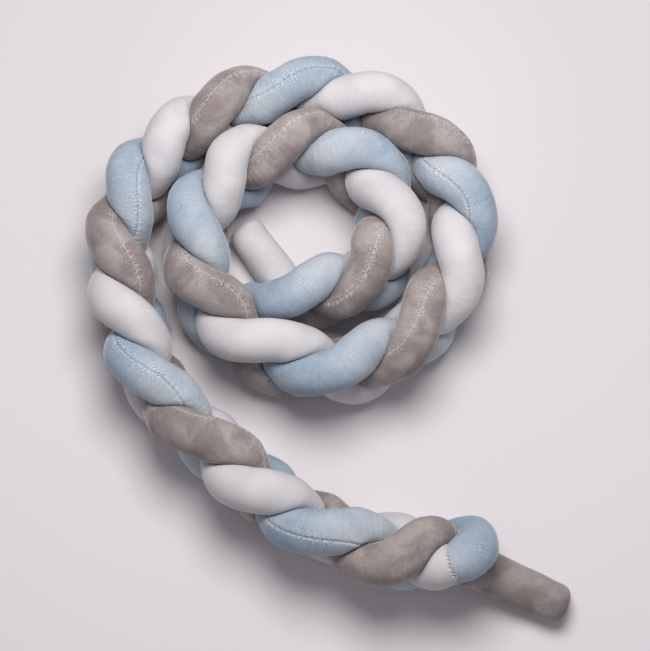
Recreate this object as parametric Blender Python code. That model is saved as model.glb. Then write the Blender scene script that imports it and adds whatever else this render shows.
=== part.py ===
"""Crib bumper: three stuffed velvet tubes plaited into one long rope.

The plait stands on its edge and is wound in a loose clockwise coil of two turns, with its tail led out
to the front right. Along the middle of the plait each strand rises to an upper lobe, dips to a lower
lobe one and a half lobes further on and rises again, a third of that rhythm behind its neighbour.
At the tail the white and the blue strand are sewn end to end, round the taupe one, which runs out on
its own. At the inner end the white strand comes out straight and the other two end underneath.
"""

from math import pi

import bpy
import numpy as np

# Driving dimensions, in metres.
MM = 0.001
STRAND_RADIUS = 27.5 * MM  # a stuffed tube that nothing presses on
RISE = 46 * MM  # from a strand's middle height up to its highest centre line
SEAT = 22.5 * MM  # centre line of a strand that lies on the floor, whose underside is pressed flat
LOBES_PER_ROUND = 3  # lobes passed before the same strand is on top again
GAP = 0.3 * MM  # between two strands that press on each other
FACET_ROOM = 1.7 * MM  # and this much more, for the flats between a section's corners
SEAM_GAP = 1.4 * MM  # between the ends of white and blue where they are sewn together, on a bend
SEAM_WAIST = 2.5 * MM  # the sewn joint of white and blue draws the tube in by this much
SEAM_REACH = 10 * MM  # and this far to each side
SQUEEZE_POWER = 10  # how sharply a section follows the strands that press on it
MOST_BULGE = 1.12  # a pressed section keeps its girth by growing, up to this share
NEAR = 2.6 * STRAND_RADIUS  # strands further off than this don't press
OWN_REACH = 0.4 * STRAND_RADIUS  # nor does a strand's own stretch this near
PATH_STEP = 4 * MM  # between the samples of a centre line
RING_STEP = 13.5 * MM  # between the sections of a solid
SIDES = 12  # corners of a section
ROUND_END = 20 * MM  # length over which a loose end rounds off
END_RINGS = 4  # sections in that length
END_POWER = 3  # 2 is a half ball, more is blunter
THIN_END = 2.5 * MM  # a loose end is stuffed less, and thinner by this
THIN_REACH = 90 * MM  # over this length from its tip
ORIGIN = (-0.3 * MM, -6.3 * MM, 0)  # the middle of the whole bumper, on the route's own map
SEAM_AT = (150 * MM, -302 * MM, 115 * MM)  # where white is sewn to blue, on that map

# The plait's upper edge, in millimetres: lobe number, where that upper lobe lies (x, y), how far the
# strands sway to either side there, and how far the lower lobes lie to the right of the upper ones, which
# is the coil's inner side. It starts at the tail. White makes lobe 1, taupe 2, blue 3 and so on.
PLAIT_ROUTE = (
    (1, 167, -289, 12, 16), (2, 91, -290, 18, 17), (3, -5, -263, 10, 20), (4, -78, -214, 13, 14),
    (5, -145, -150, 12, 8), (6, -213, -74, 11, 4), (7, -242, 4, 14, 0), (8, -259, 84, 13, 0),
    (9, -247, 171, 11, 0), (10, -201, 233, 10, 0), (11, -134, 284, 10, 0), (12, -44, 307, 12, 0),
    (13, 51, 295, 12, 0), (14, 125, 239, 12, 0), (15, 172, 168, 12, 0), (16, 166, 76, 13, 0),
    (17, 116, -6, 14, 5), (18, 29, -57, 14, 7), (19, -76, -31, 15, -2), (20, -143, 34, 14, -5),
    (21, -162, 118, 14, -7), (22, -124, 193, 14, -5), (23, -47, 233, 13, -4), (24, 36, 219, 13, 0),
    (25, 85, 147, 15, 4), (26, 56, 68, 15, 0), (27, -25, 36, 12, 0), (28, -90, 47, 13, 0),
)
FIRST_LOBE = {"white": 1, "taupe": 2, "blue": 3}
PLAIT_FROM = {"white": 1.6, "taupe": 1.35, "blue": 1.45}  # the lobe numbers where the even plait starts
PLAIT_TO = {"white": 26.3, "taupe": 26.55, "blue": 27.1}  # and ends

# The stretches beyond the even plait, chosen by hand: x, y and height of the centre line, in millimetres.
# TAIL_TURN leads white over the taupe strand and down round it, into blue. Each other one is a loose end.
TAIL_TAUPE = (
    (296, -343, 22.5), (267, -331, 22.5), (238, -319, 24), (212, -308, 31), (190, -299, 44), (170, -291, 60),
)
TAIL_TURN = (
    (132, -298, 101), (145, -299, 111), (157, -295, 113), (171, -286, 106), (179, -272, 80), (171, -266, 51),
    (152, -266, 29),
)
INNER_WHITE = ((-33, 36, 29), (-60, 76, 23), (-85, 113, 22.5), (-108, 147, 24))
INNER_TAUPE = ((-10, 48, 66), (-16, 63, 44))
INNER_BLUE = ((-66, 24, 92), (-84, 30, 66), (-98, 44, 42))

COLOURS = {"blue": (0.43, 0.60, 0.75), "white": (0.81, 0.79, 0.82), "taupe": (0.40, 0.34, 0.31)}
COVER_ROUGHNESS = 0.9  # short-pile velvet

COLLECTION = "crib_bumper"


def natural_spline(knots, rows, at):
    """The natural cubic spline through rows at knots, evaluated at the places in at."""
    knots, rows, at = np.asarray(knots, float), np.asarray(rows, float), np.asarray(at, float)
    count, span = len(knots), np.diff(knots)
    matrix, right = np.eye(count), np.zeros_like(rows)
    for i in range(1, count - 1):
        matrix[i, i - 1 : i + 2] = span[i - 1], 2 * (span[i - 1] + span[i]), span[i]
        right[i] = 6 * ((rows[i + 1] - rows[i]) / span[i] - (rows[i] - rows[i - 1]) / span[i - 1])
    bend = np.linalg.solve(matrix, right)
    i = np.clip(np.searchsorted(knots, at) - 1, 0, count - 2)
    before, after, width = (at - knots[i])[:, None], (knots[i + 1] - at)[:, None], span[i][:, None]
    return (
        (bend[i] * after**3 + bend[i + 1] * before**3) / (6 * width)
        + after * (rows[i] / width - bend[i] * width / 6)
        + before * (rows[i + 1] / width - bend[i + 1] * width / 6)
    )


def even_plait(strand):
    """A strand's centre line where the plait is even: a wave up and down, and twice as fast sideways."""
    start, stop = PLAIT_FROM[strand], PLAIT_TO[strand]
    lobes = np.linspace(start, stop, round(6 * (stop - start)) + 1)
    route = np.array(PLAIT_ROUTE, float)
    edge, sway, lean = np.split(natural_spline(route[:, 0], route[:, 1:], lobes) * MM, [2, 3], axis=1)
    ahead = natural_spline(route[:, 0], route[:, 1:3], lobes + 0.001) * MM - edge
    ahead /= np.linalg.norm(ahead, axis=1)[:, None]
    to_the_right = np.column_stack([ahead[:, 1], -ahead[:, 0]])
    turn = 2 * pi * (lobes[:, None] - FIRST_LOBE[strand]) / LOBES_PER_ROUND
    across = lean * (1 - np.cos(turn)) / 2 - sway * np.sin(2 * turn)
    return np.column_stack([edge + to_the_right * across, SEAT + RISE * (1 + np.cos(turn))])


def read_off(rows, along, places):
    """The rows, known at the lengths in along, read at other lengths."""
    return np.column_stack([np.interp(places, along, column) for column in rows.T])


def even_path(*stretches):
    """One smooth line through the stretches' rows, as points an even step apart."""
    rows = np.concatenate([np.asarray(rows, float) for rows in stretches])
    chord = np.concatenate([[0], np.cumsum(np.linalg.norm(np.diff(rows, axis=0), axis=1))])
    fine = natural_spline(chord, rows, np.linspace(0, chord[-1], 20 * len(rows)))
    length = np.concatenate([[0], np.cumsum(np.linalg.norm(np.diff(fine, axis=0), axis=1))])
    at = np.linspace(0, length[-1], round(length[-1] / PATH_STEP) + 1)
    return read_off(fine, length, at) - ORIGIN


def millimetres(rows):
    return np.array(rows, float) * MM


def lengths(path):
    """How far along the path each of its points lies."""
    return np.concatenate([[0], np.cumsum(np.linalg.norm(np.diff(path, axis=0), axis=1))])


def twist_free_sides(path):
    """Two directions square to the path at each point, which turn no more than the path does."""
    ahead = np.gradient(path, axis=0)
    ahead /= np.linalg.norm(ahead, axis=1)[:, None]
    up, carried = np.zeros_like(path), np.array([0.0, 0.0, 1.0])
    for i, direction in enumerate(ahead):
        carried = carried - carried @ direction * direction
        carried /= np.linalg.norm(carried)
        up[i] = carried
    return up, np.cross(ahead, up)


def section_places(start, stop, round_start, round_stop):
    """Lengths at which a tube has sections, and each one's share of the full radius."""
    angle = np.linspace(0.1, 0.5, END_RINGS + 1)[:-1] * pi
    depth, share = 1 - np.cos(angle) ** (2 / END_POWER), np.sin(angle) ** (2 / END_POWER)
    first, last = start + ROUND_END * round_start, stop - ROUND_END * round_stop
    middle = np.linspace(first, last, round((last - first) / RING_STEP) + 1)
    places, shares = [middle], [np.ones(len(middle))]
    if round_start:
        places.insert(0, start + ROUND_END * depth)
        shares.insert(0, share)
    if round_stop:
        places.append(stop - ROUND_END * depth[::-1])
        shares.append(share[::-1])
    return np.concatenate(places), np.concatenate(shares)


def reach_to_neighbours(centre, spokes, others):
    """How far along each spoke the centre is still nearer than any of the others: the pressed face."""
    offset = others - centre
    along = np.maximum(spokes @ offset.T, 1e-6)
    return ((offset**2).sum(axis=1) / (2 * along)).min(axis=1, initial=1.0)


def girth(points):
    return np.linalg.norm(points - np.roll(points, 1, axis=1), axis=2).sum(axis=1)


def squeezed(radius, reach):
    """A section's spokes: the radius where the reach is longer, rounding over to the reach where not."""
    return (radius[:, None] ** -SQUEEZE_POWER + reach**-SQUEEZE_POWER) ** (-1 / SQUEEZE_POWER)


def hollow(points, spokes, axis):
    """How far a corner lies below the straight between its neighbours, where a neighbour presses it in."""
    between = (np.roll(points, 1, axis=axis) + np.roll(points, -1, axis=axis)) / 2
    depth = np.maximum(((between - points) * spokes).sum(axis=2), 0)
    if axis == 0:
        depth[[0, -1]] = 0
    return depth


def pressed_sections(name, paths, places, radius):
    """A tube's sections: round where it is free, flat on its neighbours and on the floor, of even girth."""
    path = paths[name]
    along = lengths(path)
    up, side = (read_off(rows, along, places) for rows in twist_free_sides(path))
    centres = read_off(path, along, places)
    angle = 2 * pi * np.arange(SIDES)[:, None] / SIDES
    spokes = up[:, None] * np.cos(angle) + side[:, None] * np.sin(angle)
    spokes /= np.linalg.norm(spokes, axis=2)[:, :, None]
    reach = np.empty(spokes.shape[:2])
    for i, centre in enumerate(centres):
        near = {other: line[np.linalg.norm(line - centre, axis=1) < NEAR] for other, line in paths.items()}
        own = (np.linalg.norm(path - centre, axis=1) < NEAR) & (abs(along - places[i]) > OWN_REACH)
        near[name] = path[own]
        reach[i] = reach_to_neighbours(centre, spokes[i], np.concatenate(list(near.values())))
    grown = radius
    for _ in range(2):
        free = centres[:, None] + squeezed(grown, reach)[:, :, None] * spokes
        growth = np.clip(2 * pi * radius / girth(free), 1, MOST_BULGE)
        growth[1:-1] = (growth[:-2] + 2 * growth[1:-1] + growth[2:]) / 4
        grown = radius * growth
    spread = squeezed(grown, reach) - (GAP + FACET_ROOM) / 2
    points = centres[:, None] + spread[:, :, None] * spokes
    spread -= (hollow(points, spokes, 0) + hollow(points, spokes, 1)) / 4
    to_floor = centres[:, 2, None] / np.maximum(-spokes[:, :, 2], 1e-6)
    return centres[:, None] + np.minimum(spread, to_floor)[:, :, None] * spokes


def velvet(colour):
    material = bpy.data.materials.new(f"{colour}_velvet")
    material.use_nodes = True
    shader = material.node_tree.nodes["Principled BSDF"]
    shader.inputs["Base Color"].default_value = (*COLOURS[colour], 1)
    shader.inputs["Roughness"].default_value = COVER_ROUGHNESS
    return material


def tube_object(name, sections, material, collection):
    """A closed solid through the sections, flat across the first and the last."""
    corner = np.arange(len(sections) * SIDES).reshape(-1, SIDES)
    turned = np.roll(corner, -1, axis=1)
    walls = np.stack([corner[:-1], turned[:-1], turned[1:], corner[1:]], axis=2).reshape(-1, 4)
    mesh = bpy.data.meshes.new(name)
    ends = [corner[0][::-1].tolist(), corner[-1].tolist()]
    mesh.from_pydata(sections.reshape(-1, 3).tolist(), [], walls.tolist() + ends)
    mesh.materials.append(material)
    mesh.shade_smooth()
    collection.objects.link(bpy.data.objects.new(name, mesh))


for thing in list(bpy.data.objects):
    bpy.data.objects.remove(thing, do_unlink=True)
bumper = bpy.data.collections.new(COLLECTION)
bpy.context.scene.collection.children.link(bumper)

# White and blue share one centre line, because they are sewn end to end at the tail.
pair = even_path(
    millimetres(INNER_WHITE)[::-1],
    even_plait("white")[::-1],
    millimetres(TAIL_TURN),
    even_plait("blue"),
    millimetres(INNER_BLUE),
)
taupe = even_path(millimetres(TAIL_TAUPE), even_plait("taupe"), millimetres(INNER_TAUPE))
paths = {"pair": pair, "taupe": taupe}
seam = lengths(pair)[np.argmin(np.linalg.norm(pair + ORIGIN - SEAM_AT, axis=1))]
# Each strand: its centre line, from where to where it runs on it, and whether it rounds off there.
STRANDS = {
    "white": ("pair", 0, seam - SEAM_GAP / 2, True, False),
    "blue": ("pair", seam + SEAM_GAP / 2, lengths(pair)[-1], False, True),
    "taupe": ("taupe", 0, lengths(taupe)[-1], True, True),
}
for colour, (line, start, stop, round_start, round_stop) in STRANDS.items():
    places, share = section_places(start, stop, round_start, round_stop)
    radius = np.full(len(places), STRAND_RADIUS)
    if line == "pair":
        radius -= SEAM_WAIST * np.exp(-(((places - seam) / SEAM_REACH) ** 2))
    for tip in [start] * round_start + [stop] * round_stop:
        radius -= THIN_END * np.exp(-(((places - tip) / THIN_REACH) ** 2))
    sections = pressed_sections(line, paths, places, radius * share)
    tube_object(f"strand_{colour}", sections, velvet(colour), bumper)
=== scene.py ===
"""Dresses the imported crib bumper: three stuffed velvet tubes, plaited into a rope and laid in a coil.

The script follows the bumper as it is put together: the camera, the blue tube, the white one that is
sewn to its end, the stitches that join them, the taupe tube, and last the floor and the light.
"""

from math import cos, pi, radians, sin

import bpy
import numpy as np
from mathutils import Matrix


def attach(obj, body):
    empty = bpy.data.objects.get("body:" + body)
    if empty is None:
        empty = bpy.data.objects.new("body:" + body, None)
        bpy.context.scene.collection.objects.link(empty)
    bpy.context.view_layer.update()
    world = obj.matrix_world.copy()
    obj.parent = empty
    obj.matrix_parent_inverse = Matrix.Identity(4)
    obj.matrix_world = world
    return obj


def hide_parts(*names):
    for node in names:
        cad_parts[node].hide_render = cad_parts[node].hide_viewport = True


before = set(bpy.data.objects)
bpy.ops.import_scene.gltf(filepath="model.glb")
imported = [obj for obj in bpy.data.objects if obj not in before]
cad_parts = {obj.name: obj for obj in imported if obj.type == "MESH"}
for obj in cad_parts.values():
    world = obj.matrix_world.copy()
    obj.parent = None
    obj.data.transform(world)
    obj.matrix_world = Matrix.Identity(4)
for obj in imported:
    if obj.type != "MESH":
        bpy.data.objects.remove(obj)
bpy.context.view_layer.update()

# ---------------------------------------------------------------------------------------------------
# Camera. The photograph looks down on the bumper from the front, 15 degrees off straight down, from
# about 1.75 m: the lobes at the back and at the front are the same size, so the lens is a long one.
CAMERA_AIM = (0.0003, 0.0063, 0.07)
CAMERA_ELEVATION = radians(75)
CAMERA_DISTANCE = 1.75
CAMERA_LENS = 77.4  # millimetres, on a sensor 36 mm wide
camera = bpy.data.objects.new("camera", bpy.data.cameras.new("camera"))
bpy.context.scene.collection.objects.link(camera)
camera.data.lens = CAMERA_LENS
camera.location = (
    CAMERA_AIM[0],
    CAMERA_AIM[1] - CAMERA_DISTANCE * cos(CAMERA_ELEVATION),
    CAMERA_AIM[2] + CAMERA_DISTANCE * sin(CAMERA_ELEVATION),
)
camera.rotation_euler = (pi / 2 - CAMERA_ELEVATION, 0, 0)
bpy.context.scene.camera = camera

# ---------------------------------------------------------------------------------------------------
# Blue strand. A tube of short-pile velvet, cut as one strip about 173 mm wide and 3.30 m long, sewn
# along its length inside out, turned and stuffed firmly with fibre. In the plait its neighbours press
# it flat where they cross it, and the floor where it lies on it. Its one end is sewn to the white tube.
MM = 0.001
TUBE_RADIUS = 27.5 * MM  # where nothing presses on the tube
TUBE_GIRTH = 2 * pi * TUBE_RADIUS
RISE = 46 * MM  # from a strand's middle height up to its highest centre line
SEAT = 22.5 * MM  # centre line of a strand that lies on the floor
LOBES_PER_ROUND = 3
ROUTE_STEP = 2 * MM  # between the samples of a centre line
ORIGIN = (-0.3 * MM, -6.3 * MM, 0)  # the middle of the whole bumper, on the route's own map
NEAR = 2.6 * TUBE_RADIUS  # strands further off than this don't press
OWN_REACH = 0.4 * TUBE_RADIUS  # nor does a strand's own stretch this near
SQUEEZE_POWER = 10  # how sharply a section follows the strands that press on it
MOST_BULGE = 1.12  # a pressed section keeps its girth by growing, up to this share
CLEARANCE = 0.4 * MM  # between two strands that press on each other

# The plait's upper edge, in millimetres: lobe number, where that upper lobe lies (x, y), how far the
# strands sway to either side there, and how far the lower lobes lie to the right of the upper ones.
PLAIT_ROUTE = (
    (1, 167, -289, 12, 16), (2, 91, -290, 18, 17), (3, -5, -263, 10, 20), (4, -78, -214, 13, 14),
    (5, -145, -150, 12, 8), (6, -213, -74, 11, 4), (7, -242, 4, 14, 0), (8, -259, 84, 13, 0),
    (9, -247, 171, 11, 0), (10, -201, 233, 10, 0), (11, -134, 284, 10, 0), (12, -44, 307, 12, 0),
    (13, 51, 295, 12, 0), (14, 125, 239, 12, 0), (15, 172, 168, 12, 0), (16, 166, 76, 13, 0),
    (17, 116, -6, 14, 5), (18, 29, -57, 14, 7), (19, -76, -31, 15, -2), (20, -143, 34, 14, -5),
    (21, -162, 118, 14, -7), (22, -124, 193, 14, -5), (23, -47, 233, 13, -4), (24, 36, 219, 13, 0),
    (25, 85, 147, 15, 4), (26, 56, 68, 15, 0), (27, -25, 36, 12, 0), (28, -90, 47, 13, 0),
)
FIRST_LOBE = {"white": 1, "taupe": 2, "blue": 3}
PLAIT_FROM = {"white": 1.6, "taupe": 1.35, "blue": 1.45}
PLAIT_TO = {"white": 26.3, "taupe": 26.55, "blue": 27.1}
# The stretches beyond the even plait: x, y and height of the centre line, in millimetres.
TAIL_TAUPE = (
    (296, -343, 22.5), (267, -331, 22.5), (238, -319, 24), (212, -308, 31), (190, -299, 44),
    (170, -291, 60),
)
TAIL_TURN = (
    (132, -298, 101), (145, -299, 111), (157, -295, 113), (171, -286, 106), (179, -272, 80),
    (171, -266, 51), (152, -266, 29),
)
INNER_WHITE = ((-33, 36, 29), (-60, 76, 23), (-85, 113, 22.5), (-108, 147, 24))
INNER_TAUPE = ((-10, 48, 66), (-16, 63, 44))
INNER_BLUE = ((-66, 24, 92), (-84, 30, 66), (-98, 44, 42))
SEWN_AT = (150 * MM, -302 * MM, 115 * MM)  # where white is sewn to blue, on the route's map


def natural_spline(knots, rows, at):
    """Cubics between the knots whose slopes and bends agree there, with no bend at the two ends."""
    knots, rows, at = np.asarray(knots, float), np.asarray(rows, float), np.asarray(at, float)
    count, span = len(knots), np.diff(knots)
    matrix, right = np.eye(count), np.zeros_like(rows)
    for i in range(1, count - 1):
        matrix[i, i - 1 : i + 2] = span[i - 1], 2 * (span[i - 1] + span[i]), span[i]
        right[i] = 6 * ((rows[i + 1] - rows[i]) / span[i] - (rows[i] - rows[i - 1]) / span[i - 1])
    bend = np.linalg.solve(matrix, right)
    i = np.clip(np.searchsorted(knots, at) - 1, 0, count - 2)
    before, after, width = (at - knots[i])[:, None], (knots[i + 1] - at)[:, None], span[i][:, None]
    return (
        (bend[i] * after**3 + bend[i + 1] * before**3) / (6 * width)
        + after * (rows[i] / width - bend[i] * width / 6)
        + before * (rows[i + 1] / width - bend[i + 1] * width / 6)
    )


def plait_line(strand, lobes):
    """The strand's centre at lobe numbers: height SEAT + RISE (1 + cos turn), where turn grows by 120
    degrees a lobe; across the plait lean (1 - cos turn) / 2 - sway sin(2 turn), from the upper edge."""
    route = np.array(PLAIT_ROUTE, float)
    edge, sway, lean = np.split(natural_spline(route[:, 0], route[:, 1:], lobes) * MM, [2, 3], axis=1)
    ahead = natural_spline(route[:, 0], route[:, 1:3], lobes + 0.001) * MM - edge
    ahead /= np.linalg.norm(ahead, axis=1)[:, None]
    to_the_right = np.column_stack([ahead[:, 1], -ahead[:, 0]])
    turn = 2 * pi * (lobes[:, None] - FIRST_LOBE[strand]) / LOBES_PER_ROUND
    across = lean * (1 - np.cos(turn)) / 2 - sway * np.sin(2 * turn)
    return np.column_stack([edge + to_the_right * across, SEAT + RISE * (1 + np.cos(turn))])


def even_plait(strand):
    """The stretch of the strand that follows the plait's rule, in six samples a lobe."""
    start, stop = PLAIT_FROM[strand], PLAIT_TO[strand]
    return plait_line(strand, np.linspace(start, stop, round(6 * (stop - start)) + 1))


def lengths(path):
    """The length along the path at each of its points."""
    return np.concatenate([[0], np.cumsum(np.linalg.norm(np.diff(path, axis=0), axis=1))])


def read_off(rows, along, places):
    """The rows, known at the lengths along, at other places: straight between the nearest two."""
    return np.column_stack([np.interp(places, along, column) for column in rows.T])


def even_path(*stretches):
    """One natural spline through all the stretches' points, read at even steps of its own length."""
    rows = np.concatenate([np.asarray(rows, float) for rows in stretches])
    chord = lengths(rows)
    fine = natural_spline(chord, rows, np.linspace(0, chord[-1], 20 * len(rows)))
    length = lengths(fine)
    return read_off(fine, length, np.linspace(0, length[-1], round(length[-1] / ROUTE_STEP) + 1)) - ORIGIN


def in_metres(rows):
    return np.array(rows, float) * MM


def twist_free_sides(path):
    """Two directions square to the path at each point, carried along it without turning about it."""
    ahead = np.gradient(path, axis=0)
    ahead /= np.linalg.norm(ahead, axis=1)[:, None]
    up, carried = np.zeros_like(path), np.array([0.0, 0.0, 1.0])
    for i, direction in enumerate(ahead):
        carried = carried - carried @ direction * direction
        carried /= np.linalg.norm(carried)
        up[i] = carried
    return up, np.cross(ahead, up)


# White and blue share one centre line, because they are sewn end to end at the tail.
pair = even_path(
    in_metres(INNER_WHITE)[::-1],
    even_plait("white")[::-1],
    in_metres(TAIL_TURN),
    even_plait("blue"),
    in_metres(INNER_BLUE),
)
single = even_path(in_metres(TAIL_TAUPE), even_plait("taupe"), in_metres(INNER_TAUPE))
centre_lines = {"pair": pair, "single": single}
sewn = lengths(pair)[np.argmin(np.linalg.norm(pair + ORIGIN - SEWN_AT, axis=1))]

# Columns of a tube's surface, as widths of cloth from the long seam: close together beside the seam,
# where the cloth puckers, and 5.6 mm apart elsewhere.
BESIDE_SEAM = np.array([1, 2, 3.2, 4.8, 7, 10, 14]) * MM
CLOTH_COLUMNS = np.concatenate([
    [0], BESIDE_SEAM,
    np.linspace(BESIDE_SEAM[-1], TUBE_GIRTH - BESIDE_SEAM[-1], 27)[1:-1],
    TUBE_GIRTH - BESIDE_SEAM[::-1],
])
CLOTH_FROM_SEAM = np.minimum(CLOTH_COLUMNS, TUBE_GIRTH - CLOTH_COLUMNS)
RING_STEP = 1.5 * MM
END_LENGTH = 20 * MM  # a loose end rounds off over this length
END_POWER = 3  # 2 is a half ball, more is blunter
END_RINGS = 16
TIP_ANGLE = 0.006  # of a half turn: where the first ring of a rounded end lies
THIN_END, THIN_REACH = 2.5 * MM, 90 * MM  # a loose end is stuffed less, over this length from its tip
SEWN_WAIST, SEWN_REACH = 3.2 * MM, 9 * MM  # the joint of white and blue draws the tube in
STITCH = 5.5 * MM  # the photograph shows puckers about 4 pixels apart

PRESSED, FREE = 0.90, 0.99  # shares of its free radius at which a spoke is pressed flat, and is free
BENT_FROM, BENT_MOST = 0.12, 0.5  # tube radius over bend radius: where creases start, and their limit
DIVE_FROM, DIVE_FULL = 0.35, 0.65  # steepness at which wrinkles start, and where they are fully there
# Soft lumps of the stuffing: the length of a wave along the tube and its height, in millimetres.
LUMP_WAVES = ((118, 0.3), (81, 0.25), (57, 0.2), (43, 0.12), (34, 0.08), (27, 0.05))
CREASE_STEP, CREASE_DEPTH = 9.5 * MM, 1.6 * MM  # inside a bend
WRINKLE_STEP, WRINKLE_HEIGHT = 4.9 * MM, 0.3 * MM  # where the tube dives
PUCKER_HEIGHT, PUCKER_REACH = 0.42 * MM, 5 * MM  # beside the long seam
PUCKER_LEAN = 0.04 / MM  # waves by which a pucker falls back, for each metre from the seam
VALLEY_DEPTH, VALLEY_WIDTH = 1.1 * MM, 1.1 * MM  # the long seam itself
SHOULDER_HEIGHT, SHOULDER_PLACE, SHOULDER_WIDTH = 0.35 * MM, 4 * MM, 2.2 * MM  # the cloth beside it
LEAST_SPOKE = 0.05 * MM  # keeps a tip's rings from closing to a point


def tube_places(start, stop, round_start, round_stop):
    """Lengths with a ring of the surface: even steps, and at a loose end those of a superellipse,
    where depth = 1 - cos(t)^(2/p) and share of the radius = sin(t)^(2/p)."""
    angle = np.linspace(TIP_ANGLE, 0.5, END_RINGS + 1)[:-1] * pi
    depth, share = 1 - np.cos(angle) ** (2 / END_POWER), np.sin(angle) ** (2 / END_POWER)
    first, last = start + END_LENGTH * round_start, stop - END_LENGTH * round_stop
    middle = np.linspace(first, last, round((last - first) / RING_STEP) + 1)
    places, shares = [middle], [np.ones(len(middle))]
    if round_start:
        places.insert(0, start + END_LENGTH * depth)
        shares.insert(0, share)
    if round_stop:
        places.append(stop - END_LENGTH * depth[::-1])
        shares.append(share[::-1])
    return np.concatenate(places), np.concatenate(shares)


def seam_angles(path, up, side, turns):
    """The seam's angle in the twist-free directions. turns holds rows of a point on the path and the
    degrees by which the seam lies to the right of the tube's top there; a natural spline joins them."""
    along = lengths(path)
    places, angles = [], []
    for point, to_the_right in turns:
        i = int(np.argmin(np.linalg.norm(path - point, axis=1)))
        ahead = path[min(i + 1, len(path) - 1)] - path[max(i - 1, 0)]
        ahead /= np.linalg.norm(ahead)
        top = np.array([0, 0, 1.0]) - ahead * ahead[2]
        top /= np.linalg.norm(top)
        seam = cos(radians(to_the_right)) * top + sin(radians(to_the_right)) * np.cross(ahead, top)
        places.append(along[i])
        angles.append(np.arctan2(seam @ side[i], seam @ up[i]))
    order = np.argsort(places)
    places, angles = np.array(places)[order], np.unwrap(np.array(angles)[order])
    at = np.clip(along, places[0], places[-1])
    return natural_spline(places, angles[:, None], at)[:, 0]


def free_reach(line, along, places, centres, spokes):
    """How far each spoke reaches before it is as near to a strand that presses on it as to its own
    centre c: |q - c|^2 / (2 spoke . (q - c)), the least over the samples q of the strands nearby."""
    path = centre_lines[line]
    others = [other for name, other in centre_lines.items() if name != line]
    reach = np.ones(spokes.shape[:2])
    for i, centre in enumerate(centres):
        near = [other[np.linalg.norm(other - centre, axis=1) < NEAR] for other in others]
        own = np.linalg.norm(path - centre, axis=1) < NEAR
        near.append(path[own & (abs(along - places[i]) > OWN_REACH)])
        offset = np.concatenate(near) - centre
        if len(offset):
            toward = np.maximum(spokes[i] @ offset.T, 1e-6)
            reach[i] = ((offset**2).sum(axis=1) / (2 * toward)).min(axis=1, initial=1.0)
    return reach


def squeezed_spokes(centres, spokes, radius, reach):
    """Each spoke's length, (r^-n + reach^-n)^(-1/n), and its share of the radius r. The radius grows
    where this takes girth away, evened out over nine rings."""

    def squeezed(grown):
        return (grown[:, None] ** -SQUEEZE_POWER + reach**-SQUEEZE_POWER) ** (-1 / SQUEEZE_POWER)

    grown = radius
    for _ in range(2):
        points = centres[:, None] + squeezed(grown)[:, :, None] * spokes
        girth = np.linalg.norm(points - np.roll(points, 1, axis=1), axis=2).sum(axis=1)
        growth = np.clip(2 * pi * radius / girth, 1, MOST_BULGE)
        growth = np.convolve(np.pad(growth, 4, mode="edge"), np.ones(9) / 9, mode="valid")
        grown = radius * growth
    spread = squeezed(grown)
    return spread, spread / grown[:, None]


def phase(u, wave):
    """The angle of a wave of this length at u along the tube."""
    return 2 * pi * u / wave


def stuffing_lumps(u, angle, seed):
    """A sum of sines along and round the tube, two of about each length in LUMP_WAVES."""
    chance = np.random.RandomState(seed)
    lumps = np.zeros(angle.shape)
    for wave, height in LUMP_WAVES:
        for _ in range(2):
            along_it = phase(u, wave * MM * chance.uniform(0.85, 1.15))
            round_it = chance.randint(-3, 4) * angle
            lumps += height * MM * np.sin(along_it + round_it + chance.uniform(0, 2 * pi))
    return lumps


def bend_creases(u, angle, packed):
    """Narrow valleys about CREASE_STEP apart, with the profile (1 - |sin|)^2, that wander along u."""
    wander = u / CREASE_STEP + 0.6 * np.sin(phase(u, 41 * MM))
    wander = wander + 0.25 * np.sin(2 * angle + phase(u, 93 * MM))
    return CREASE_DEPTH * packed * (1 - np.abs(np.sin(pi * wander))) ** 2


def dive_wrinkles(u, angle, dives):
    """Fine ripples WRINKLE_STEP apart across the tube, on a part of its way round, with a waver."""
    waver = 0.5 * np.sin(3 * angle + phase(u, 57 * MM)) + 0.3 * np.sin(phase(u, 13.1 * MM))
    part = 0.5 + 0.5 * np.sin(2 * angle + phase(u, 83 * MM))
    return WRINKLE_HEIGHT * dives * part * np.cos(2 * pi * (u / WRINKLE_STEP + waver))


def seam_puckers(u, v):
    """Ripples a stitch apart on both sides of the seam but not in its valley, stronger in places."""
    strength = 0.6 + 0.4 * np.sin(phase(u, 47 * MM) + 1.3 * np.sin(phase(u, 19 * MM)))
    beside = np.exp(-((v / PUCKER_REACH) ** 2)) - np.exp(-((v / MM) ** 2))
    return PUCKER_HEIGHT * strength * beside * np.cos(2 * pi * (u / STITCH + PUCKER_LEAN * v))


def seam_valley(v):
    """Bell curves of the distance v from the seam: its valley, less a low shoulder on each side."""
    shoulder = SHOULDER_HEIGHT * np.exp(-(((v - SHOULDER_PLACE) / SHOULDER_WIDTH) ** 2))
    return VALLEY_DEPTH * np.exp(-((v / VALLEY_WIDTH) ** 2)) - shoulder


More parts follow.
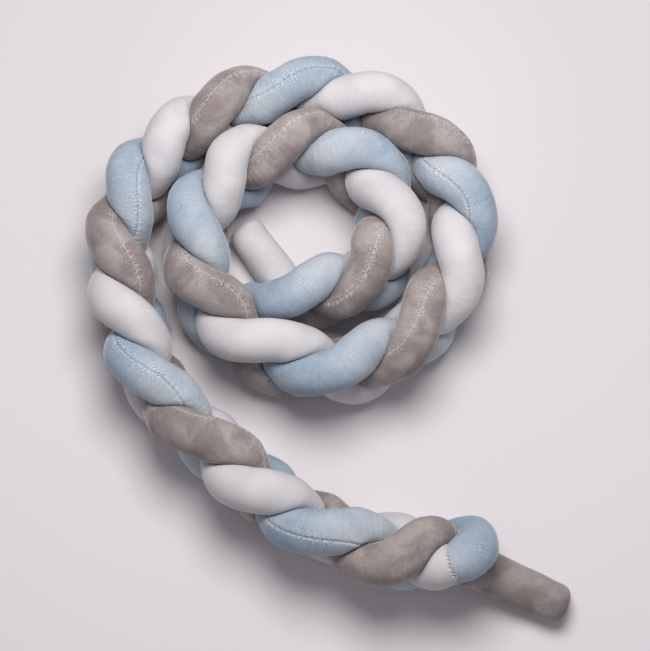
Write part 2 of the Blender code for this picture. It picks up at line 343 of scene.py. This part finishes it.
def pressed_tube(line, start, stop, round_start, round_stop, turns, seed):
    """Rows of rings of a stuffed tube on a centre line. Each spoke is as long as the tube's radius
    where it is free, and goes half way to whatever strand presses on it. On this lie the stuffing's
    lumps, the long seam, creases inside the bends, and fine wrinkles where the tube dives under its
    neighbour or comes up again. The floor cuts off what would pass it."""
    path = centre_lines[line]
    along = lengths(path)
    up, side = twist_free_sides(path)
    places, share = tube_places(start, stop, round_start, round_stop)
    seam = np.interp(places, along, seam_angles(path, up, side, turns))
    centres = read_off(path, along, places)
    up, side = read_off(up, along, places), read_off(side, along, places)
    angle = seam[:, None] + CLOTH_COLUMNS / TUBE_RADIUS
    spokes = up[:, None] * np.cos(angle)[:, :, None] + side[:, None] * np.sin(angle)[:, :, None]
    spokes /= np.linalg.norm(spokes, axis=2)[:, :, None]

    radius = np.full(len(places), TUBE_RADIUS)
    if line == "pair":
        radius -= SEWN_WAIST * np.exp(-(((places - sewn) / SEWN_REACH) ** 2))
    for tip in [start] * round_start + [stop] * round_stop:
        radius -= THIN_END * np.exp(-(((places - tip) / THIN_REACH) ** 2))
    reach = free_reach(line, along, places, centres, spokes)
    spread, fullness = squeezed_spokes(centres, spokes, radius * share, reach)
    free = np.clip((fullness - PRESSED) / (FREE - PRESSED), 0, 1)
    free = free * np.clip(share * 1.4 - 0.4, 0, 1)[:, None]  # and smooth on the last of a round end

    ahead = np.gradient(centres, axis=0)
    ahead /= np.linalg.norm(ahead, axis=1)[:, None]
    steep = ahead[:, 2:3]
    bend = np.gradient(ahead, axis=0) / np.gradient(places)[:, None]
    packed = (spokes * bend[:, None]).sum(axis=2) * TUBE_RADIUS - BENT_FROM
    packed = np.clip(packed, 0, BENT_MOST)
    dives = np.clip((abs(steep) - DIVE_FROM) / (DIVE_FULL - DIVE_FROM), 0, 1)

    u, v = places[:, None], CLOTH_FROM_SEAM[None, :]
    raised = stuffing_lumps(u, angle, seed) + seam_puckers(u, v) + dive_wrinkles(u, angle, dives)
    sunk = bend_creases(u, angle, packed) + seam_valley(v) * share[:, None]
    spread = spread - CLEARANCE / 2 + free * raised - sunk
    to_floor = centres[:, 2, None] / np.maximum(-spokes[:, :, 2], 1e-6)
    spread = np.maximum(np.minimum(spread, to_floor), LEAST_SPOKE)
    return {
        "rings": centres[:, None] + spread[:, :, None] * spokes,
        "places": places,
        "spokes": spokes,
        "seam": seam,
        "climb": np.broadcast_to(np.clip(0.5 + 0.9 * steep, 0, 1), angle.shape),
        "bent": packed + 0.5 * dives,
    }


def closed_mesh(name, tube):
    """A surface of one quad for each step along and round, closed by a fan at each end, with a UV map
    in metres of cloth, u along the tube and v round it from the long seam, and two values for each
    point: how much the strand climbs there, and how much it is crumpled by a bend."""
    rings, places = tube["rings"], tube["places"]
    count, columns = rings.shape[:2]
    corner = np.arange(count * columns).reshape(count, columns)
    turned = np.roll(corner, -1, axis=1)
    walls = np.stack([corner[:-1], turned[:-1], turned[1:], corner[1:]], axis=2).reshape(-1, 4)
    tips = count * columns + np.arange(2)
    caps = [
        np.column_stack([turned[0], corner[0], np.full(columns, tips[0])]),
        np.column_stack([corner[-1], turned[-1], np.full(columns, tips[1])]),
    ]
    points = np.concatenate([rings.reshape(-1, 3), [rings[0].mean(axis=0), rings[-1].mean(axis=0)]])
    faces = walls.tolist() + np.concatenate(caps).tolist()
    mesh = bpy.data.meshes.new(name)
    mesh.from_pydata(points.tolist(), [], faces)
    v = np.concatenate([CLOTH_COLUMNS, [TUBE_GIRTH]])
    u = np.repeat(places[:, None], columns, axis=1)
    wall_u = np.stack([u[:-1], u[:-1], u[1:], u[1:]], axis=2)
    wall_v = np.broadcast_to(np.column_stack([v[:-1], v[1:], v[1:], v[:-1]]), wall_u.shape)
    caps_uv = [
        np.stack([np.full((columns, 3), places[end]), np.column_stack([a, b, (a + b) / 2])], axis=2)
        for end, a, b in ((0, v[1:], v[:-1]), (-1, v[:-1], v[1:]))
    ]
    walls_uv = np.stack([wall_u, wall_v], axis=3)
    uv = np.concatenate([part.reshape(-1, 2) for part in (walls_uv, *caps_uv)])
    mesh.uv_layers.new(name="cloth").data.foreach_set("uv", uv.astype(np.float32).ravel())
    for value in ("climb", "bent"):
        known = np.concatenate([tube[value].ravel(), tube[value][0, :1], tube[value][-1, :1]])
        mesh.attributes.new(value, "FLOAT", "POINT").data.foreach_set("value", known.astype(np.float32))
    mesh.shade_smooth()
    mesh.validate()
    return mesh


def colour(hexadecimal):
    """An sRGB hex colour as linear red, green, blue and 1: ((c + 0.055) / 1.055)^2.4 above 0.04045."""
    srgb = np.array([int(hexadecimal[i : i + 2], 16) for i in (1, 3, 5)]) / 255
    linear = np.where(srgb <= 0.04045, srgb / 12.92, ((srgb + 0.055) / 1.055) ** 2.4)
    return (*linear.tolist(), 1.0)


def add(material, kind, links=None, values=None, **settings):
    """Adds a node, sets its settings and its inputs' values, and links outputs into its inputs."""
    node = material.node_tree.nodes.new(kind)
    for key, value in settings.items():
        setattr(node, key, value)
    for key, value in (values or {}).items():
        node.inputs[key].default_value = value
    for key, output in (links or {}).items():
        material.node_tree.links.new(output, node.inputs[key])
    return node


def short_pile_velvet(name, deep, light, tip, seam_line, sheen, nap_sheen, ruffle, rib):
    """Polyester velvet with a pile of about 2 mm, knitted and brushed. It is matt, brightens towards the
    rims, where the pile is seen from its side, and has patches where the pile was stroked the other
    way. The pile lies back along the strand, and the climbing part of a lobe is painted paler: painted
    sheen where that pile catches the light; nap is the share of that. Beside the long seam the pile is
    ruffled, with pale ticks across the seam that are painted highlights, and its tufts show as painted
    glints and shade, as strongly as ruffle says. tip is the sheen's tint and the colour of the painted
    highlights. rib is how strongly the back's ribs show through the pile. The seam line is drawn in
    seam_line: on blue and white it is darker than the cloth, painted shade in the seam's valley, and on
    taupe paler, the thread and backing where the pile parts."""
    material = bpy.data.materials.new(name)
    material.use_nodes = True
    shader = material.node_tree.nodes["Principled BSDF"]
    cloth = add(material, "ShaderNodeUVMap", uv_map="cloth")
    mm = add(material, "ShaderNodeVectorMath", {0: cloth.outputs[0]}, {"Scale": 1000}, operation="SCALE")
    split = add(material, "ShaderNodeSeparateXYZ", {0: mm.outputs[0]})
    from_seam = add(
        material, "ShaderNodeMath", {0: split.outputs[1]}, {1: TUBE_GIRTH / MM / 2}, operation="PINGPONG"
    )
    place = add(material, "ShaderNodeTexCoord")

    # Stroked patches about 50 mm long, from the object's own coordinates, so they cross the seam.
    stroked = add(
        material, "ShaderNodeTexNoise", {"Vector": place.outputs["Object"]},
        {"Scale": 22, "Detail": 3, "Roughness": 0.55, "Distortion": 0.4},
    )
    patches = add(
        material, "ShaderNodeMapRange", {"Value": stroked.outputs[0]},
        {"From Min": 0.36, "From Max": 0.64, "To Min": 0.0, "To Max": 1.0}, interpolation_type="SMOOTHSTEP",
    )
    # Painted sheen: the climbing part of a lobe is paler, where the pile that lies back along the strand
    # catches the light; the mix with the stroked patches sets its share.
    climb = add(material, "ShaderNodeAttribute", attribute_name="climb")
    patches_and_sheen = add(
        material, "ShaderNodeMix", {2: patches.outputs[0], 3: climb.outputs["Fac"]}, {0: nap_sheen},
        data_type="FLOAT",
    )
    ground = add(
        material, "ShaderNodeMix", {0: patches_and_sheen.outputs[0]}, {6: colour(deep), 7: colour(light)},
        data_type="RGBA",
    )

    # Ribs of the knitted back across the tube, 3.4 mm apart and about 18 mm long, seen as faint streaks.
    stretched = add(
        material, "ShaderNodeVectorMath", {0: mm.outputs[0]}, {1: (1 / 3.4, 1 / 18, 1)},
        operation="MULTIPLY",
    )
    ribs = add(
        material, "ShaderNodeTexNoise", {"Vector": stretched.outputs[0]},
        {"Scale": 1.0, "Detail": 1, "Roughness": 0.5}, noise_dimensions="2D",
    )
    streaked = add(
        material, "ShaderNodeMix", {6: ground.outputs[2], 7: ribs.outputs[0]}, {0: 0.09 * rib},
        data_type="RGBA", blend_type="OVERLAY",
    )
    # Ruffled pile: within 17 mm of the seam on some stretches, and on a few patches elsewhere.
    beside = add(
        material, "ShaderNodeMapRange", {"Value": from_seam.outputs[0]},
        {"From Min": 3, "From Max": 17, "To Min": 1.0, "To Max": 0.0},
    )
    stretches = add(
        material, "ShaderNodeTexNoise", {"Vector": place.outputs["Object"]},
        {"Scale": 34, "Detail": 2, "Roughness": 0.6},
    )
    some = add(
        material, "ShaderNodeMapRange", {"Value": stretches.outputs[0]},
        {"From Min": 0.40, "From Max": 0.60, "To Min": 0.0, "To Max": 1.0},
    )
    few = add(
        material, "ShaderNodeMapRange", {"Value": stretches.outputs[0]},
        {"From Min": 0.56, "From Max": 0.68, "To Min": 0.15, "To Max": 0.6},
    )
    near_seam = add(
        material, "ShaderNodeMath", {0: beside.outputs[0], 1: some.outputs[0]}, operation="MULTIPLY"
    )
    anywhere = add(
        material, "ShaderNodeMath", {0: near_seam.outputs[0], 1: few.outputs[0]}, operation="MAXIMUM"
    )
    ruffled = add(
        material, "ShaderNodeMath", {0: anywhere.outputs[0]}, {1: ruffle}, operation="MULTIPLY"
    )
    # Tufts of pile 1.7 mm apart; the real ones are 0.3 mm apart, too fine for a picture of this size.
    # The tufts are painted lighter and darker: glints where they catch the light, shade between them.
    tufts = add(
        material, "ShaderNodeTexNoise", {"Vector": mm.outputs[0]},
        {"Scale": 0.6, "Detail": 2, "Roughness": 0.6}, noise_dimensions="2D",
    )
    tuft_glint_and_shade = add(
        material, "ShaderNodeMapRange", {"Value": tufts.outputs[0]},
        {"From Min": 0.3, "From Max": 0.7, "To Min": 0.12, "To Max": 0.92},
    )
    tufted = add(
        material, "ShaderNodeMix", {0: ruffled.outputs[0], 6: streaked.outputs[2], 7: tuft_glint_and_shade.outputs[0]},
        data_type="RGBA", blend_type="OVERLAY",
    )
    # Pale ticks across the seam, where the thread pulls the pile in: 1.3 mm wide and up to 8 mm long. They
    # are painted highlights, in the sheen's tint.
    across = add(
        material, "ShaderNodeVectorMath", {0: mm.outputs[0]}, {1: (1 / 1.3, 1 / 8, 1)},
        operation="MULTIPLY",
    )
    pulled = add(
        material, "ShaderNodeTexNoise", {"Vector": across.outputs[0]}, {"Scale": 1.0, "Detail": 0},
        noise_dimensions="2D",
    )
    ticks = add(
        material, "ShaderNodeMapRange", {"Value": pulled.outputs[0]},
        {"From Min": 0.48, "From Max": 0.68, "To Min": 0.0, "To Max": 0.32},
    )
    reach = add(
        material, "ShaderNodeMapRange", {"Value": from_seam.outputs[0]},
        {"From Min": 2, "From Max": 8.5, "To Min": 1.0, "To Max": 0.0},
    )
    ticked = add(
        material, "ShaderNodeMath", {0: ticks.outputs[0], 1: reach.outputs[0]}, operation="MULTIPLY"
    )
    highlighted = add(
        material, "ShaderNodeMix", {0: ticked.outputs[0], 6: tufted.outputs[2]}, {7: colour(tip)},
        data_type="RGBA",
    )
    # The seam line itself, about 1.3 mm wide, fainter at each stitch. On blue and white it is darker than
    # the cloth, painted shade in the seam's valley; on taupe it is paler, the thread and backing where the
    # pile parts.
    stitch = add(
        material, "ShaderNodeMath", {0: split.outputs[0]}, {1: STITCH / MM / 2}, operation="PINGPONG"
    )
    drawn = add(
        material, "ShaderNodeMapRange", {"Value": stitch.outputs[0]},
        {"From Min": 0.5, "From Max": 1.2, "To Min": 0.1, "To Max": 0.6},
    )
    line = add(
        material, "ShaderNodeMapRange", {"Value": from_seam.outputs[0]},
        {"From Min": 0.35, "From Max": 0.95, "To Min": 1.0, "To Max": 0.0},
    )
    sewn_line = add(
        material, "ShaderNodeMath", {0: drawn.outputs[0], 1: line.outputs[0]}, operation="MULTIPLY"
    )
    base = add(
        material, "ShaderNodeMix", {0: sewn_line.outputs[0], 6: highlighted.outputs[2]},
        {7: colour(seam_line)}, data_type="RGBA",
    )

    # Ribs are felt most inside a bend, and tufts where the pile is ruffled.
    bent = add(material, "ShaderNodeAttribute", attribute_name="bent")
    rib_share = add(
        material, "ShaderNodeMath", {0: bent.outputs["Fac"]}, {1: 1.3 * rib, 2: 0.35 * rib},
        operation="MULTIPLY_ADD",
    )
    ribbed = add(
        material, "ShaderNodeMath", {0: ribs.outputs[0], 1: rib_share.outputs[0]}, operation="MULTIPLY"
    )
    rough = add(
        material, "ShaderNodeMath", {0: tufts.outputs[0], 1: ruffled.outputs[0], 2: ribbed.outputs[0]},
        operation="MULTIPLY_ADD",
    )
    height = add(material, "ShaderNodeMath", {0: ticked.outputs[0], 1: rough.outputs[0]}, operation="ADD")
    bump = add(
        material, "ShaderNodeBump", {"Height": height.outputs[0]},
        {"Strength": 0.6, "Distance": 1.2 * MM},
    )
    links = material.node_tree.links
    links.new(base.outputs[2], shader.inputs["Base Color"])
    links.new(bump.outputs[0], shader.inputs["Normal"])
    shader.inputs["Roughness"].default_value = 0.95
    shader.inputs["Specular IOR Level"].default_value = 0.2
    shader.inputs["Sheen Weight"].default_value = sheen
    shader.inputs["Sheen Roughness"].default_value = 0.3
    shader.inputs["Sheen Tint"].default_value = colour(tip)
    return material


def dress(name, node, mesh, material):
    """Puts the mesh in the scene as a stuffed piece that stands for the CAD node."""
    mesh.materials.append(material)
    piece = bpy.data.objects.new(name, mesh)
    bpy.context.scene.collection.objects.link(piece)
    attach(piece, "root")
    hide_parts(node)


def at_lobes(strand, rows):
    """Seam rows (lobe number, degrees to the right of the top) as rows of (point on the line, degrees)."""
    points = plait_line(strand, np.array([lobe for lobe, _ in rows], float)) - ORIGIN
    return [(point, to_the_right) for point, (_, to_the_right) in zip(points, rows)]


# Where the blue tube's long seam lies on its upper lobes: it shows on the first five, then turns under.
BLUE_SEAM = (
    (2.7, -37), (3, -24), (5.6, -1), (5.9, 6), (6.2, 2), (8.6, 32), (8.8, 26), (9.1, 38), (11.5, 13),
    (11.8, 5), (12, 3), (14.6, 33), (14.8, 25), (15, 29), (18, 100), (21, 140), (24, 150), (27, 150),
)
blue_tube = pressed_tube("pair", sewn, lengths(pair)[-1], False, True, at_lobes("blue", BLUE_SEAM), seed=5)
blue_velvet = short_pile_velvet(
    "blue_short_pile_velvet", "#96a9bc", "#c0c6ce", tip="#e6ebf1", seam_line="#6f7f90",
    sheen=0.9, nap_sheen=0.6, ruffle=0.7, rib=1.0,
)
dress("velvet_tube_blue", "strand_blue", closed_mesh("velvet_tube_blue", blue_tube), blue_velvet)

# ---------------------------------------------------------------------------------------------------
# White strand. The same tube in white, 3.20 m long. It starts with a loose rounded end in the middle of
# the coil and ends at the tail, where it is sewn to the blue one. Its long seam lies on its underside.
WHITE_SEAM = tuple((lobe, 165) for lobe in range(1, 26, 3))
white_tube = pressed_tube("pair", 0, sewn, True, False, at_lobes("white", WHITE_SEAM), seed=11)
white_velvet = short_pile_velvet(
    "white_short_pile_velvet", "#cecbcf", "#d9d6d8", tip="#f6f3f5", seam_line="#a9a6aa",
    sheen=0.6, nap_sheen=0.2, ruffle=0.25, rib=0.6,
)
dress("velvet_tube_white", "strand_white", closed_mesh("velvet_tube_white", white_tube), white_velvet)

# ---------------------------------------------------------------------------------------------------
# Ring seam. Where white and blue meet, their ends are sewn together by hand with doubled white thread,
# in short stitches about 5 mm apart that reach over the joint, so the edge of the colours is jagged.
RING_STITCHES = 34
STITCH_REACH = 1.9 * MM  # to each side of the joint
STITCH_SLANT = 0.9 * MM  # round the tube, on the way across
THREAD_RADIUS = 0.6 * MM  # a doubled thread with the pile that it pulls up
THREAD_STEPS, THREAD_SIDES = 7, 6
MOST_CRUMPLED = 0.15  # more than this, and the cloth closes over a stitch


def on_tube(tube, places, angle):
    """Points, outward directions and crumpling on a tube at lengths and angles: those of the nearest
    ring, and straight between its two nearest columns."""
    ring = abs(tube["places"][:, None] - places).argmin(axis=0)
    from_seam = (angle - tube["seam"][ring]) % (2 * pi) * TUBE_RADIUS
    ends = np.append(CLOTH_COLUMNS, TUBE_GIRTH)
    column = np.clip(np.searchsorted(ends, from_seam, side="right") - 1, 0, len(CLOTH_COLUMNS) - 1)
    share = ((from_seam - ends[column]) / (ends[column + 1] - ends[column]))[:, None]
    beyond = (column + 1) % len(CLOTH_COLUMNS)
    rows = (tube["rings"], tube["spokes"], tube["bent"][:, :, None])
    return [(1 - share) * row[ring, column] + share * row[ring, beyond] for row in rows]


def thread_over_joint(name, seed):
    """Closed little tubes that lie in arcs over the joint: for t from -0.98 to 0.98 a stitch is at
    sewn + t reach and at its own angle + t slant / r, above the surface by r (0.3 + 0.7 (1 - t^2)), and
    its radius is that of the thread times (1 - t^4). Those inside the bend are buried in the cloth."""
    chance = np.random.RandomState(seed)
    t = np.linspace(-0.98, 0.98, THREAD_STEPS)
    around = 2 * pi * (np.arange(RING_STITCHES) + chance.uniform(-0.2, 0.2, RING_STITCHES)) / RING_STITCHES
    crumpled = on_tube(white_tube, np.full(RING_STITCHES, sewn), around)[2]
    around = around[crumpled[:, 0] < MOST_CRUMPLED]
    reach = STITCH_REACH * chance.uniform(0.75, 1.2, len(around))
    places = (sewn + reach[:, None] * t).ravel()
    angle = (around[:, None] + t * STITCH_SLANT / TUBE_RADIUS).ravel()
    low, high = on_tube(white_tube, places, angle), on_tube(blue_tube, places, angle)
    before = (places < sewn)[:, None]
    points, out = (
        np.where(before, a, b).reshape(len(around), THREAD_STEPS, 3) for a, b in zip(low[:2], high[:2])
    )
    lift = THREAD_RADIUS * (0.3 + 0.7 * (1 - t**2))
    centres = points + lift[None, :, None] * out
    ahead = np.gradient(centres, axis=1)
    ahead /= np.linalg.norm(ahead, axis=2)[:, :, None]
    beside = np.cross(ahead, out)
    beside /= np.linalg.norm(beside, axis=2)[:, :, None]
    above = np.cross(beside, ahead)
    round_it = 2 * pi * np.arange(THREAD_SIDES) / THREAD_SIDES
    thick = (THREAD_RADIUS * (1 - t**4))[None, :, None, None]
    skin = centres[:, :, None] + thick * (
        above[:, :, None] * np.cos(round_it)[:, None] + beside[:, :, None] * np.sin(round_it)[:, None]
    )
    corner = np.arange(skin[..., 0].size).reshape(skin.shape[:3])
    turned = np.roll(corner, -1, axis=2)
    walls = np.stack([corner[:, :-1], turned[:, :-1], turned[:, 1:], corner[:, 1:]], axis=3).reshape(-1, 4)
    faces = walls.tolist() + corner[:, 0, ::-1].tolist() + corner[:, -1].tolist()
    mesh = bpy.data.meshes.new(name)
    mesh.from_pydata(skin.reshape(-1, 3).tolist(), [], faces)
    mesh.shade_smooth()
    return mesh


def twisted_thread(name, pale, dark):
    """Spun polyester sewing thread, two plies twisted, 1 mm apart. Bands on the object's own coordinates
    paint it paler on the plies, a painted highlight, and darker between them, painted shade."""
    material = bpy.data.materials.new(name)
    material.use_nodes = True
    shader = material.node_tree.nodes["Principled BSDF"]
    place = add(material, "ShaderNodeTexCoord")
    plies = add(
        material, "ShaderNodeTexWave", {"Vector": place.outputs["Object"]},
        {"Scale": 160, "Distortion": 2.0, "Detail": 1}, bands_direction="DIAGONAL",
    )
    # Painted highlight on the plies and painted shade between them.
    ply_highlight_and_shade = add(
        material, "ShaderNodeMix", {0: plies.outputs["Fac"]}, {6: colour(dark), 7: colour(pale)},
        data_type="RGBA",
    )
    bump = add(
        material, "ShaderNodeBump", {"Height": plies.outputs["Fac"]},
        {"Strength": 0.4, "Distance": 0.2 * MM},
    )
    material.node_tree.links.new(ply_highlight_and_shade.outputs[2], shader.inputs["Base Color"])
    material.node_tree.links.new(bump.outputs[0], shader.inputs["Normal"])
    shader.inputs["Roughness"].default_value = 0.6
    return material


ring_mesh = thread_over_joint("ring_seam_thread", seed=31)
ring_mesh.materials.append(twisted_thread("white_spun_thread", "#e9e7e9", "#c9c6ca"))
ring_thread = bpy.data.objects.new("ring_seam_thread", ring_mesh)
bpy.context.scene.collection.objects.link(ring_thread)
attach(ring_thread, "root")

# ---------------------------------------------------------------------------------------------------
# Taupe strand. The same tube in grey taupe, 3.24 m long and closed at both ends. It starts as the blunt
# stub of the tail and ends under the blue one at the coil's inner end.
TAUPE_SEAM = (
    (2, 105), (4.5, 50), (4.7, 66), (5, 55), (7.6, 25), (7.9, 21), (10.7, -9), (11.1, -11), (14, -30),
    (16.7, -2), (17, 8), (17.3, 13), (19.6, 15), (19.85, 20), (20.1, 23), (22.6, 0), (23, -8), (23.25, -20),
    (23.45, -42), (25.65, -13), (26, -2), (26.3, -14), (26.55, -38),
)
taupe_tube = pressed_tube(
    "single", 0, lengths(single)[-1], True, True, at_lobes("taupe", TAUPE_SEAM), seed=23
)
taupe_velvet = short_pile_velvet(
    "taupe_short_pile_velvet", "#8c8180", "#ada4a1", tip="#dcd7d8", seam_line="#d2cbcb",
    sheen=0.9, nap_sheen=0.1, ruffle=0.7, rib=1.0,
)
dress("velvet_tube_taupe", "strand_taupe", closed_mesh("velvet_tube_taupe", taupe_tube), taupe_velvet)

# ---------------------------------------------------------------------------------------------------
# Floor: one large sheet of pale matt paper, a little lilac. It is paler away from the light, so that it
# looks even under it.
FLOOR_HALF = 6.0
LIGHT_PLACE = (0.03, 0.31, 1.28)
EVEN_TO, PALEST_FROM = 0.35, 0.8  # distances from under the lamp
floor_mesh = bpy.data.meshes.new("floor")
floor_mesh.from_pydata(
    [(x * FLOOR_HALF, y * FLOOR_HALF, 0) for x, y in ((-1, -1), (1, -1), (1, 1), (-1, 1))],
    [],
    [(0, 1, 2, 3)],
)
floor = bpy.data.objects.new("floor", floor_mesh)
bpy.context.scene.collection.objects.link(floor)
paper = bpy.data.materials.new("matt_pale_paper")
paper.use_nodes = True
floor_place = add(paper, "ShaderNodeTexCoord")
from_light = add(
    paper, "ShaderNodeVectorMath", {0: floor_place.outputs["Object"]}, {1: (*LIGHT_PLACE[:2], 0)},
    operation="DISTANCE",
)
far_off = add(
    paper, "ShaderNodeMapRange", {"Value": from_light.outputs["Value"]},
    {"From Min": EVEN_TO, "From Max": PALEST_FROM},
)
paper_tone = add(
    paper, "ShaderNodeMix", {0: far_off.outputs[0]}, {6: colour("#e5e0e3"), 7: colour("#fffafd")},
    data_type="RGBA",
)
paper_shader = paper.node_tree.nodes["Principled BSDF"]
paper.node_tree.links.new(paper_tone.outputs[2], paper_shader.inputs["Base Color"])
paper_shader.inputs["Roughness"].default_value = 1.0
floor_mesh.materials.append(paper)

# ---------------------------------------------------------------------------------------------------
# Light: one round soft lamp 1.3 m above the floor, over the back of the coil, and a pale room.
key_data = bpy.data.lights.new("soft_key", "AREA")
key_data.shape = "DISK"
key_data.size = 0.75
key_data.energy = 15.2
key_data.color = colour("#fffdfc")[:3]
key = bpy.data.objects.new("soft_key", key_data)
bpy.context.scene.collection.objects.link(key)
key.location = LIGHT_PLACE
room = bpy.data.worlds.new("pale_room")
room.use_nodes = True
room.node_tree.nodes["Background"].inputs["Color"].default_value = colour("#f4f2f8")
room.node_tree.nodes["Background"].inputs["Strength"].default_value = 0.23
bpy.context.scene.world = room
bpy.context.scene.view_settings.view_transform = "Standard"
